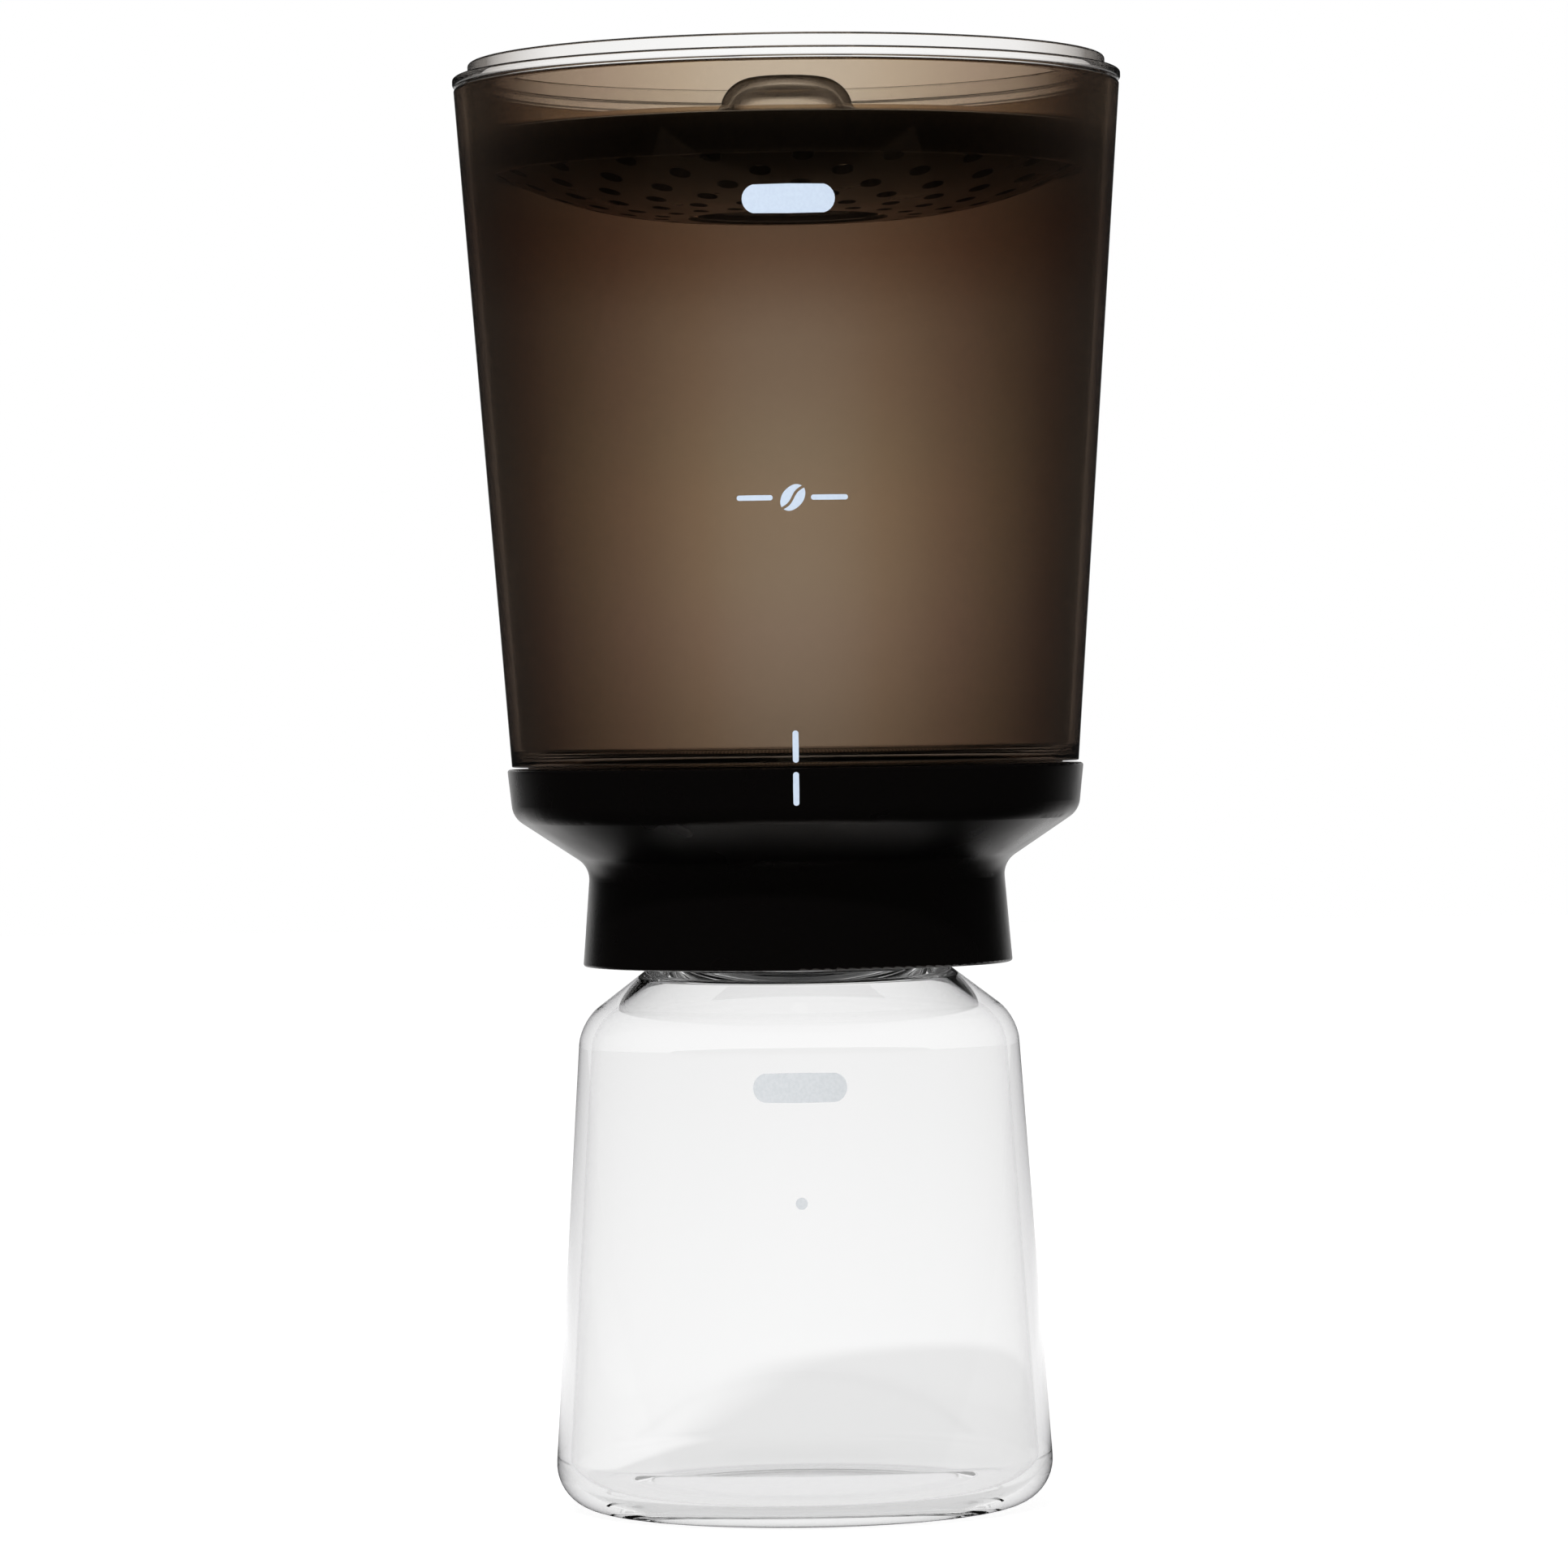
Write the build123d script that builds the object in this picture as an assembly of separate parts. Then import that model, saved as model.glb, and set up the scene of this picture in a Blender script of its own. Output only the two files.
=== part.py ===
from build123d import *
from math import asin, cos, radians, sin, sqrt, tan
import os

# Cold brew coffee maker. Millimetres, +Z up, origin at the centre of the carafe's underside.
# The front, with the printed lines, faces -Y.

# ---- clearances ---------------------------------------------------------------------------------
rest_gap = 0.3              # between bodies that rest on each other
sliding_gap = 0.25          # round a piece that slides in another
fixed_gap = 0.1             # round a piece that is clamped or clipped in place
shaft_gap = 0.05            # round a screw or stem in its hole
edge_round = 0.6
fine_round = 0.3
front = -90.0               # direction of the front, in degrees from +X

# ---- glass carafe -------------------------------------------------------------------------------
carafe_height = 130.0
carafe_base_flare = 6.25            # foot outside the shoulder
carafe_base_round = 9.6
carafe_shoulder_width = 18.35       # from the neck out to the shoulder
carafe_shoulder_drop = 26.4         # shoulder below the mouth
carafe_shoulder_round = 10.5
carafe_shoulder_slope = 37.3        # degrees from level
carafe_wall = 2.6
carafe_floor = 4.8
standing_ring = 15.8                # width of the foot round the hollow under the floor
punt_depth = 1.4
punt_slope = 4.2
mouth_radius = 25.2                 # bore of the neck
neck_wall = 3.0
neck_round = 5.0
bead_proud = 1.8                    # rolled rim round the mouth
bead_height = 3.8
bead_round = 1.3

# ---- valve: spider, stem, spring ----------------------------------------------------------------
valve_travel = 3.7
pad_thickness = 1.2
pad_overhang = 0.6                  # rim pad beyond the glass bead
spider_flange = 2.0
spider_overlap = 2.2                # how far the retainer reaches under the spider's flange
locating_gap = 0.9                  # round the short tube that drops into the mouth
locating_wall = 1.7
locating_depth = 4.5
spoke_count = 3
spoke_turn = 90.0
spoke_width = 3.0
spoke_height = 2.6
hub_wall = 2.6
hub_height = 7.9
hub_web = 2.4                       # floor of the hub, which the stem's screw clamps
stem_radius = 3.0
plug_overlap = 1.0                  # plug beyond the valve seat
plug_thickness = 1.9
plug_dome = 0.5
seal_thickness = 1.6
seal_inset = 0.8                    # washer's edge inside the plug's edge
spring_gap = 2.55                   # between the drain tube and the coil round it
spring_wire = 1.1
spring_turns = 3.5
spring_seat_width = 5.0
spring_seat_height = 2.0
spring_lip = 1.4                    # rim inside the coil that centres it

# ---- base: collar, funnel, retainer -------------------------------------------------------------
skirt_overlap = 14.7                # how far the collar comes down over the carafe's neck
skirt_height = 21.1
skirt_flare = 1.7                   # bottom edge outside the waist, where skirt and cone meet
waist_cover = 1.9                   # collar outside the screw bosses
cone_height = 10.8
cone_width = 16.2
band_height = 10.2
band_flare = 1.1                    # collar's top edge outside the cone's top
collar_wall = 2.0
collar_round = 5.0
band_wall = 2.7                     # round the container's neck
step_rise = 1.5                     # from the cone's top to the step under the seal
step_width = 1.6
web_rise = 22.7                     # top of the collar's inner web above the bottom edge
web_thickness = 2.0
web_gap = 1.3                       # between the web's bore and the funnel's sleeve
funnel_wall = 2.0
funnel_ledge = 6.9                  # flat ring that the strainer stands on
funnel_drop = 2.2                   # from that ring to the edge of the sloping floor
drain_radius = 8.0
drain_wall = 2.3
drain_tube = 5.6                    # how far the tube hangs below the seat
seat_lip = 1.6
seat_proud = 0.4
seat_rise = 6.8                     # valve seat above the stop for the spider
sleeve_wall = 1.65
stop_width = 1.85
retainer_gap = 1.2                  # between the retainer's bore and the glass bead
retainer_thickness = 2.0
retainer_rim = 1.0                  # beyond the funnel's sleeve
retainer_ear = 0.2                  # lugs beyond the bosses
boss_count = 3
boss_wall = 1.75
boss_inset = 0.4                    # between the bosses and the sleeve
boss_turn = 30.0                    # degrees, which leaves the front free
screw_radius = 1.45
screw_length = 17.0
screw_head_overlap = 1.25           # head beyond the shank
screw_head_height = 1.9
screw_recess_length = 3.5
screw_recess_width = 0.8
screw_recess_depth = 1.0
stem_screw_length = 9.0
pilot_spare = 0.5                   # blind hole beyond the screw's end

# ---- brew container and its bayonet -------------------------------------------------------------
seam_gap = 0.9                      # open line between container and collar
container_height = 143.5
container_flare = 10.4              # rim outside the lower edge
collar_proud = 0.95                 # collar's top edge outside the container's lower edge
container_wall = 2.3
container_neck_wall = 2.1
container_step_rise = 0.3           # inner slope begins this far above the lower edge
container_step_height = 3.4
bayonet_depth = 1.7                 # space between neck and collar that the lugs turn in
lug_count = 4
lug_turn = 45.0
lug_angle = 20.0
lug_height = 2.4
lug_rise = 1.4                      # above the neck's lower edge
ledge_angle = 24.0
ledge_height = 2.2
stop_angle = 3.0
stop_play = 0.6                     # degrees between lug and stop
seal_height = 1.7
seal_inner_lap = 1.8                # container seal over the funnel's flange
seal_outer_gap = 0.4                # between container seal and collar

# ---- strainer -----------------------------------------------------------------------------------
strainer_gap = 0.5                  # between gasket and container neck
gasket_lip = 1.3
gasket_height = 2.4
gasket_bevel = 0.6
gasket_rise = 0.3
strainer_width = 3.2
frame_height = 2.3
clamp_height = 2.1
mesh_thickness = 0.3
mesh_grip = 1.2                     # mesh held between frame and clamp by this
rib_count = 6
rib_width = 1.6
rib_height = 1.5
rib_hub = 6.0
tab_count = 2
tab_angle = 14.0
tab_height = 4.5
tab_thickness = 2.2

# ---- rain dish ----------------------------------------------------------------------------------
ring_rest = 0.4                     # ring's flange above the container's rim
ring_overhang = 0.25                # flange outside the container's rim
ring_flange = 1.9
ring_lip = 3.0                      # raised rim above the flange
ring_lip_inset = 3.3                # lip inside the flange's edge
ring_lip_wall = 1.9
ring_round = 0.9
ring_gap = 0.5                      # to the container's inner wall
ring_hook = 1.3                     # ledge reaches under the bowl's corner by this
ring_hook_height = 1.1
ring_bead = 0.5                     # clip over the bowl's rim
ring_bead_rise = 0.7
dish_drop = 13.4                    # bowl's rim below the flange's top
dish_depth = 16.7                   # rim to lowest point outside
dish_side = 5.9                     # steep side between the rim and the curved floor
dish_lean = 1.2                     # steep side leans out by this
dish_wall = 1.8
dish_round = 0.8
dish_gap = 0.2                      # between the bowl's side and the ring
dish_rim_gap = 0.4                  # between the bowl's rim and the ring's bore
dish_opening = 21.3
row_count = 6
row_holes = 20
first_row = 5.8                     # along the floor from the opening
last_row = 4.4                      # along the floor from the corner
first_hole = 3.5
hole_growth = 0.45                  # each row's holes are larger than the last's
largest_hole = 4.6
first_turn = 12.0                   # degrees past the front
row_turn = 9.0                      # degrees back from row to row

# ---- clear knob ---------------------------------------------------------------------------------
knob_radius = 14.2
knob_drop = 0.3                     # knob's top below the flange's top
knob_round = 7.4
knob_wall = 2.0
knob_straight = 10.0                # upright part below the top
knob_flange = 2.8
knob_flange_height = 1.4
knob_spigot = 1.5                   # part inside the bowl's opening
knob_waist_round = 6.0

# ---- heights that follow ------------------------------------------------------------------------
carafe_shoulder_height = carafe_height - carafe_shoulder_drop

spider_bottom = carafe_height + rest_gap + pad_thickness
spider_top = spider_bottom + spider_flange
stop_height = spider_top + rest_gap
retainer_top = spider_bottom - valve_travel - rest_gap
retainer_bottom = retainer_top - retainer_thickness
seat_height = stop_height + seat_rise
seal_bottom = seat_height + valve_travel + rest_gap
plug_bottom = seal_bottom + seal_thickness
hub_bottom = spider_bottom - hub_height
locating_bottom = spider_bottom - locating_depth
spring_bottom = locating_bottom + spoke_height
spring_top = seat_height - seat_proud - funnel_wall

collar_bottom = carafe_height - skirt_overlap
waist_height = collar_bottom + skirt_height
cone_top = waist_height + cone_height
collar_top = cone_top + band_height
step_height = cone_top + step_rise
funnel_seat = step_height - funnel_wall
web_top = collar_bottom + web_rise

neck_bottom = step_height + seal_height + rest_gap
lug_bottom = neck_bottom + lug_rise
ledge_bottom = lug_bottom + lug_height + rest_gap
container_bottom = collar_top + seam_gap
container_top = container_bottom + container_height
mesh_bottom = step_height + rest_gap + frame_height

flange_bottom = container_top + ring_rest
flange_top = flange_bottom + ring_flange
dish_rim = flange_top - dish_drop
dish_low = dish_rim - dish_depth
dish_corner_height = dish_rim - dish_side

# ---- radii that follow --------------------------------------------------------------------------
neck_radius = mouth_radius + neck_wall
bead_radius = neck_radius + bead_proud
carafe_shoulder_radius = neck_radius + carafe_shoulder_width
carafe_base_radius = carafe_shoulder_radius + carafe_base_flare
punt_radius = carafe_base_radius - standing_ring

screw_head_radius = screw_radius + screw_head_overlap
boss_radius = screw_radius + boss_wall
ear_radius = boss_radius + retainer_ear
locating_radius = mouth_radius - locating_gap
retainer_bore = bead_radius + retainer_gap
spider_radius = retainer_bore + spider_overlap
sleeve_bore = spider_radius + sliding_gap
sleeve_radius = sleeve_bore + sleeve_wall
boss_circle = sleeve_radius + boss_inset + boss_radius

hub_radius = stem_radius + hub_wall
tube_radius = drain_radius + drain_wall
seat_radius = drain_radius + seat_lip
plug_radius = seat_radius + plug_overlap
spring_radius = tube_radius + spring_gap + spring_wire / 2
spring_seat_bore = spring_radius - spring_seat_width / 2
spring_seat_radius = spring_radius + spring_seat_width / 2

waist_radius = boss_circle + boss_radius + waist_cover
skirt_radius = waist_radius + skirt_flare
cone_top_radius = waist_radius + cone_width
band_radius = cone_top_radius + band_flare
container_radius = band_radius - collar_proud
container_top_radius = container_radius + container_flare
collar_bore = band_radius - band_wall
step_radius = collar_bore - step_width
container_neck_radius = collar_bore - bayonet_depth
container_neck_bore = container_neck_radius - container_neck_wall
gasket_radius = container_neck_bore - strainer_gap
frame_radius = gasket_radius - gasket_lip
frame_bore = frame_radius - strainer_width
rib_ring = (rib_hub + frame_bore) / 2
funnel_radius = step_radius - fixed_gap
basin_radius = funnel_radius - funnel_ledge

ring_flange_radius = container_top_radius + ring_overhang
ring_lip_radius = ring_flange_radius - ring_lip_inset
ring_bore = ring_lip_radius - ring_lip_wall
dish_radius = ring_bore - dish_rim_gap
dish_corner = dish_radius - dish_lean
knob_flange_radius = dish_opening + knob_flange

# ---- floor of the rain dish: an arc that starts level at the opening ----------------------------
floor_width = dish_corner - dish_opening
floor_rise = dish_depth - dish_side
dish_curve = (floor_width ** 2 + floor_rise ** 2) / (2 * floor_rise)
floor_length = dish_curve * asin(floor_width / dish_curve)
row_step = (floor_length - first_row - last_row) / (row_count - 1)


# ---- shapes used again and again ----------------------------------------------------------------
def revolved(*corners):
    # solid of revolution from corners given as (radius, height) or (radius, height, rounding)
    points = [corner[:2] for corner in corners]
    roundings = [corner[2] if len(corner) > 2 else 0 for corner in corners]
    outline = FilletPolyline(*points, radius=roundings, close=True)
    return revolve(Plane.XZ * make_face(outline.edges()), Axis.Z)


def ring(inner, outer, bottom, top):
    return revolved((inner, bottom), (outer, bottom), (outer, top), (inner, top))


def sector(inner, outer, bottom, top, angle, middle):
    # part of a ring that spans an angle, with its middle in a direction in degrees from +X
    corners = Polyline((inner, bottom), (outer, bottom), (outer, top), (inner, top), close=True)
    piece = revolve(Plane.XZ * make_face(corners.edges()), Axis.Z, revolution_arc=angle)
    return Rot(0, 0, middle - angle / 2) * piece


def upright(radius, bottom, top, x=0.0, y=0.0):
    height = top - bottom
    return Pos(x, y, bottom + height / 2) * Cylinder(radius, height)


def bar(start, end, width, bottom, top, direction):
    # straight bar that points away from the axis, from one radius to another
    block = Box(end - start, width, top - bottom)
    return Rot(0, 0, direction) * Pos((start + end) / 2, 0, (bottom + top) / 2) * block


def directions(count, start=0.0):
    return [start + 360.0 * index / count for index in range(count)]


def on_circle(radius, direction):
    return radius * cos(radians(direction)), radius * sin(radians(direction))


def screw(head_top, length, radius):
    # pan head below, shank pointing up
    head_bottom = head_top - screw_head_height
    piece = revolved(
        (0, head_bottom),
        (screw_head_radius, head_bottom, edge_round),
        (screw_head_radius, head_top),
        (radius, head_top),
        (radius, head_top + length, edge_round),
        (0, head_top + length),
    )
    for direction in (0, 90):
        slot = Box(screw_recess_length, screw_recess_width, 2 * screw_recess_depth)
        piece -= Pos(0, 0, head_bottom) * Rot(0, 0, direction) * slot
    return piece


def write(shape, name):
    shape.label = name
    export_step(shape, f"parts/{name}.step")


# ---- carafe -------------------------------------------------------------------------------------
def carafe_side(height):
    # radius of the leaning side at a height
    rise = carafe_shoulder_height - carafe_base_round
    share = (height - carafe_base_round) / rise
    return carafe_base_radius + (carafe_shoulder_radius - carafe_base_radius) * share


def glass_carafe():
    slope = tan(radians(carafe_shoulder_slope))
    neck_height = carafe_shoulder_height + (carafe_shoulder_radius - neck_radius) * slope
    bead_bottom = carafe_height - bead_height
    body = revolved(
        (0, 0),
        (carafe_side(0), 0, carafe_base_round),
        (carafe_shoulder_radius, carafe_shoulder_height, carafe_shoulder_round),
        (neck_radius, neck_height, neck_round),
        (neck_radius, bead_bottom, fine_round),
        (bead_radius, bead_bottom, bead_round),
        (bead_radius, carafe_height, bead_round),
        (mouth_radius, carafe_height, bead_round),
        (mouth_radius, carafe_height - 2 * bead_round),
        (0, carafe_height - 2 * bead_round),
    )
    inner_shoulder = carafe_shoulder_radius - carafe_wall
    inner_height = carafe_shoulder_height + carafe_wall * (slope - 1 / cos(radians(carafe_shoulder_slope)))
    hollow = revolved(
        (0, carafe_floor),
        (carafe_side(carafe_floor) - carafe_wall, carafe_floor, carafe_base_round - carafe_wall),
        (inner_shoulder, inner_height, carafe_shoulder_round - carafe_wall),
        (mouth_radius, inner_height + (inner_shoulder - mouth_radius) * slope, neck_round),
        (mouth_radius, carafe_height),
        (0, carafe_height),
    )
    punt = revolved(
        (0, 0),
        (punt_radius, 0),
        (punt_radius - punt_slope, punt_depth),
        (0, punt_depth),
    )
    return body - hollow - punt


# ---- valve --------------------------------------------------------------------------------------
def rim_pad():
    outer = bead_radius + pad_overhang
    return ring(mouth_radius + fixed_gap, outer, carafe_height + rest_gap, spider_bottom)


def valve_actuator():
    # spider that stands on the carafe's rim and pushes the plug off its seat
    locating_bore = locating_radius - locating_wall
    piece = revolved(
        (locating_bore, locating_bottom, edge_round),
        (locating_radius, locating_bottom, edge_round),
        (locating_radius, spider_bottom),
        (spider_radius, spider_bottom, edge_round),
        (spider_radius, spider_top, edge_round),
        (locating_bore, spider_top, edge_round),
    )
    piece += upright(hub_radius, hub_bottom, spider_bottom)
    seat_bottom = spring_bottom - spring_seat_height
    lip_radius = spring_radius - spring_wire / 2 - sliding_gap
    piece += ring(spring_seat_bore, spring_seat_radius, seat_bottom, spring_bottom)
    piece += ring(spring_seat_bore, lip_radius, seat_bottom, spring_bottom + spring_lip)
    for direction in directions(spoke_count, spoke_turn):
        middle = (stem_radius + hub_radius) / 2
        end = (locating_bore + locating_radius) / 2
        piece += bar(middle, end, spoke_width, locating_bottom, spring_bottom, direction)
    piece -= upright(stem_radius + shaft_gap, hub_bottom + hub_web, spider_bottom)
    piece -= upright(screw_radius + shaft_gap, hub_bottom, hub_bottom + hub_web)
    return piece


def valve_stem():
    stem_bottom = hub_bottom + hub_web
    plug_top = plug_bottom + plug_thickness
    dome_round = plug_radius ** 2 / (2 * plug_dome)
    shaft = upright(stem_radius, stem_bottom, plug_bottom + plug_thickness / 2)
    dome = Pos(0, 0, plug_top + plug_dome - dome_round) * Sphere(dome_round)
    blank = revolved(
        (0, plug_bottom),
        (plug_radius, plug_bottom, edge_round),
        (plug_radius, plug_top + plug_dome),
        (0, plug_top + plug_dome),
    )
    pilot_top = hub_bottom + stem_screw_length + pilot_spare
    return shaft + (blank & dome) - upright(screw_radius + shaft_gap, stem_bottom, pilot_top)


def valve_seal():
    return ring(stem_radius + shaft_gap, plug_radius - seal_inset, seal_bottom, plug_bottom)


def stem_screw():
    return screw(hub_bottom, stem_screw_length, screw_radius)


def valve_spring():
    half_wire = spring_wire / 2 + shaft_gap
    height = spring_top - spring_bottom - 2 * half_wire
    coil = Helix(pitch=height / spring_turns, height=height, radius=spring_radius)
    section = Plane(origin=coil @ 0, z_dir=coil % 0) * Circle(spring_wire / 2)
    return Pos(0, 0, spring_bottom + half_wire) * sweep(section, path=coil, is_frenet=True)


# ---- base ---------------------------------------------------------------------------------------
def base_collar():
    # band, cone and skirt in one shell, with the bayonet ledges and the web that carries the bosses
    cone_slope = cone_height / (cone_top_radius - waist_radius)
    inner_rise = collar_wall * sqrt(1 + cone_slope ** 2)
    waist_inner = waist_radius - collar_wall
    ledge_inner = waist_radius + (funnel_seat - waist_height - inner_rise) / cone_slope
    shell = revolved(
        (skirt_radius - collar_wall, collar_bottom, edge_round),
        (skirt_radius, collar_bottom, edge_round),
        (waist_radius, waist_height, collar_round),
        (cone_top_radius, cone_top, collar_round),
        (band_radius, collar_top, edge_round),
        (collar_bore, collar_top, edge_round),
        (collar_bore, step_height),
        (step_radius, step_height),
        (step_radius, funnel_seat),
        (ledge_inner, funnel_seat),
        (waist_inner, waist_height + inner_rise - collar_wall * cone_slope),
    )
    web_bore = sleeve_radius + web_gap
    web = ring(web_bore, waist_inner + collar_wall / 2, web_top - web_thickness, web_top)
    for direction in directions(boss_count, boss_turn):
        web += upright(boss_radius, retainer_top, web_top, *on_circle(boss_circle, direction))
    web -= upright(sleeve_radius + sliding_gap, retainer_top, web_top)
    shell += web
    for direction in directions(boss_count, boss_turn):
        place = on_circle(boss_circle, direction)
        shell -= upright(screw_radius + sliding_gap, retainer_top, web_top, *place)
    for ledge in bayonet_ledges():
        shell += ledge
    return shell


def bayonet_ledges():
    # ledges over the container's lugs, each with a stop at its closed end
    inner = container_neck_radius + rest_gap
    outer = collar_bore + band_wall / 2
    ledge_top = ledge_bottom + ledge_height
    stop_middle = lug_angle / 2 + stop_play + stop_angle / 2
    pieces = []
    for direction in directions(lug_count, lug_turn):
        pieces.append(sector(inner, outer, ledge_bottom, ledge_top, ledge_angle, direction))
        stop_bottom = lug_bottom - rest_gap
        pieces.append(sector(inner, outer, stop_bottom, ledge_top, stop_angle, direction - stop_middle))
    return pieces


def floor_height(radius):
    # top of the funnel's sloping floor
    high = step_height - funnel_drop
    low = seat_height - seat_proud
    return low + (high - low) * (radius - seat_radius) / (basin_radius - seat_radius)


def base_funnel():
    # sloping floor with the drain and its seat, the sleeve that guides the spider, and three posts
    stop_radius = sleeve_bore - stop_width
    bowl = revolved(
        (drain_radius, seat_height - drain_tube, edge_round),
        (tube_radius, seat_height - drain_tube, edge_round),
        (tube_radius, spring_top),
        (spring_seat_radius, spring_top),
        (spring_seat_radius, floor_height(spring_seat_radius) - funnel_wall),
        (basin_radius, floor_height(basin_radius) - funnel_wall),
        (basin_radius + funnel_wall, funnel_seat),
        (funnel_radius, funnel_seat, fine_round),
        (funnel_radius, step_height, fine_round),
        (basin_radius, step_height, edge_round),
        (basin_radius, floor_height(basin_radius), edge_round),
        (seat_radius, floor_height(seat_radius)),
        (seat_radius, seat_height, fine_round),
        (drain_radius, seat_height, fine_round),
    )
    bowl += revolved(
        (sleeve_bore, retainer_top),
        (sleeve_radius, retainer_top),
        (sleeve_radius, floor_height(sleeve_radius) - funnel_wall / 2),
        (stop_radius, floor_height(stop_radius) - funnel_wall / 2),
        (stop_radius, stop_height),
        (sleeve_bore, stop_height),
    )
    pilot_top = retainer_bottom + screw_length + pilot_spare
    for direction in directions(boss_count, boss_turn):
        place = on_circle(boss_circle, direction)
        bowl += upright(boss_radius, web_top, floor_height(boss_circle) - funnel_wall / 2, *place)
    for direction in directions(boss_count, boss_turn):
        bowl -= upright(screw_radius + shaft_gap, web_top, pilot_top, *on_circle(boss_circle, direction))
    return bowl


def valve_retainer():
    plate = ring(retainer_bore, sleeve_radius + retainer_rim, retainer_bottom, retainer_top)
    places = [on_circle(boss_circle, direction) for direction in directions(boss_count, boss_turn)]
    for place in places:
        plate += upright(ear_radius, retainer_bottom, retainer_top, *place)
    for place in places:
        plate -= upright(screw_radius + sliding_gap, retainer_bottom, retainer_top, *place)
    return plate


def retainer_screws():
    single = screw(retainer_bottom, screw_length, screw_radius)
    places = [on_circle(boss_circle, direction) for direction in directions(boss_count, boss_turn)]
    return Compound(children=[Pos(x, y, 0) * single for x, y in places])


def container_seal():
    inner = funnel_radius - seal_inner_lap
    outer = collar_bore - seal_outer_gap
    top = step_height + seal_height
    return revolved(
        (inner, step_height),
        (outer, step_height),
        (outer, top, edge_round),
        (inner, top, edge_round),
    )


# ---- strainer -----------------------------------------------------------------------------------
def filter_frame():
    # lower ring with the ribs that carry the mesh
    bottom = step_height + rest_gap
    rib_bottom = mesh_bottom - rib_height
    piece = ring(frame_bore, frame_radius, bottom, mesh_bottom)
    piece += ring(rib_ring - rib_width / 2, rib_ring + rib_width / 2, rib_bottom, mesh_bottom)
    piece += upright(rib_hub, rib_bottom, mesh_bottom)
    for direction in directions(rib_count):
        end = (frame_bore + frame_radius) / 2
        piece += bar(rib_hub / 2, end, rib_width, rib_bottom, mesh_bottom, direction)
    return piece


def filter_mesh():
    return upright(frame_bore + mesh_grip, mesh_bottom, mesh_bottom + mesh_thickness)


def filter_clamp():
    # ring over the mesh, with two tabs to lift the strainer by
    top = mesh_bottom + clamp_height
    recess = frame_bore + mesh_grip + shaft_gap
    piece = revolved(
        (recess, mesh_bottom),
        (frame_radius, mesh_bottom),
        (frame_radius, top, edge_round),
        (frame_bore, top, edge_round),
        (frame_bore, mesh_bottom + mesh_thickness),
        (recess, mesh_bottom + mesh_thickness),
    )
    tab_bottom = mesh_bottom + clamp_height / 2
    tab_inner = frame_radius - tab_thickness
    for direction in directions(tab_count):
        tab_outer = frame_radius - edge_round
        piece += sector(tab_inner, tab_outer, tab_bottom, top + tab_height, tab_angle, direction)
    return piece


def filter_gasket():
    # silicone lip that wipes the container's neck
    bottom = step_height + rest_gap + gasket_rise
    top = bottom + gasket_height
    return revolved(
        (frame_radius, bottom),
        (gasket_radius, bottom + gasket_bevel, fine_round),
        (gasket_radius, top - gasket_bevel, fine_round),
        (frame_radius, top),
    )


# ---- brew container -----------------------------------------------------------------------------
def container_inner(height):
    # radius of the container's inner wall at a height
    lean = (container_top_radius - container_radius) / container_height
    return container_radius + (height - container_bottom) * lean - container_wall


def brew_container():
    step_low = container_bottom + container_step_rise
    step_high = step_low + container_step_height
    shell = revolved(
        (container_radius, container_bottom, edge_round),
        (container_top_radius, container_top, edge_round),
        (container_inner(container_top), container_top, edge_round),
        (container_inner(step_high), step_high, container_wall),
        (container_neck_bore, step_low, edge_round),
        (container_neck_bore, neck_bottom, edge_round),
        (container_neck_radius, neck_bottom, edge_round),
        (container_neck_radius, container_bottom),
    )
    inner = container_neck_radius - container_neck_wall / 2
    outer = collar_bore - rest_gap
    for direction in directions(lug_count, lug_turn):
        shell += sector(inner, outer, lug_bottom, lug_bottom + lug_height, lug_angle, direction)
    return shell


# ---- rain dish ----------------------------------------------------------------------------------
def bowl_height(radius, offset=0.0):
    # underside of the bowl's curved floor, or the surface that runs beside it inside
    curve = dish_curve - offset
    return dish_low + dish_curve - sqrt(curve ** 2 - (radius - dish_opening) ** 2)


def dish_ring():
    hook_bore = dish_corner - ring_hook
    hook_top = bowl_height(hook_bore) - fixed_gap
    bottom = hook_top - ring_hook_height
    bead_bottom = dish_rim + fixed_gap
    lip_top = flange_top + ring_lip
    return revolved(
        (ring_bore, lip_top, ring_round),
        (ring_lip_radius, lip_top, ring_round),
        (ring_lip_radius, flange_top, fine_round),
        (ring_flange_radius, flange_top, edge_round),
        (ring_flange_radius, flange_bottom, edge_round),
        (container_inner(flange_bottom) - ring_gap, flange_bottom),
        (container_inner(bottom) - ring_gap, bottom, fine_round),
        (hook_bore, bottom),
        (hook_bore, hook_top),
        (dish_corner + dish_gap, hook_top),
        (dish_corner + dish_gap, dish_corner_height),
        (dish_radius + dish_gap, dish_rim),
        (ring_bore, bead_bottom),
        (ring_bore - ring_bead, bead_bottom + ring_bead_rise),
        (ring_bore, bead_bottom + 2 * ring_bead_rise),
    )


def bowl_arc(start, end, offset):
    middle = (start + end) / 2
    return ThreePointArc(*((radius, bowl_height(radius, offset)) for radius in (start, middle, end)))


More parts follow.
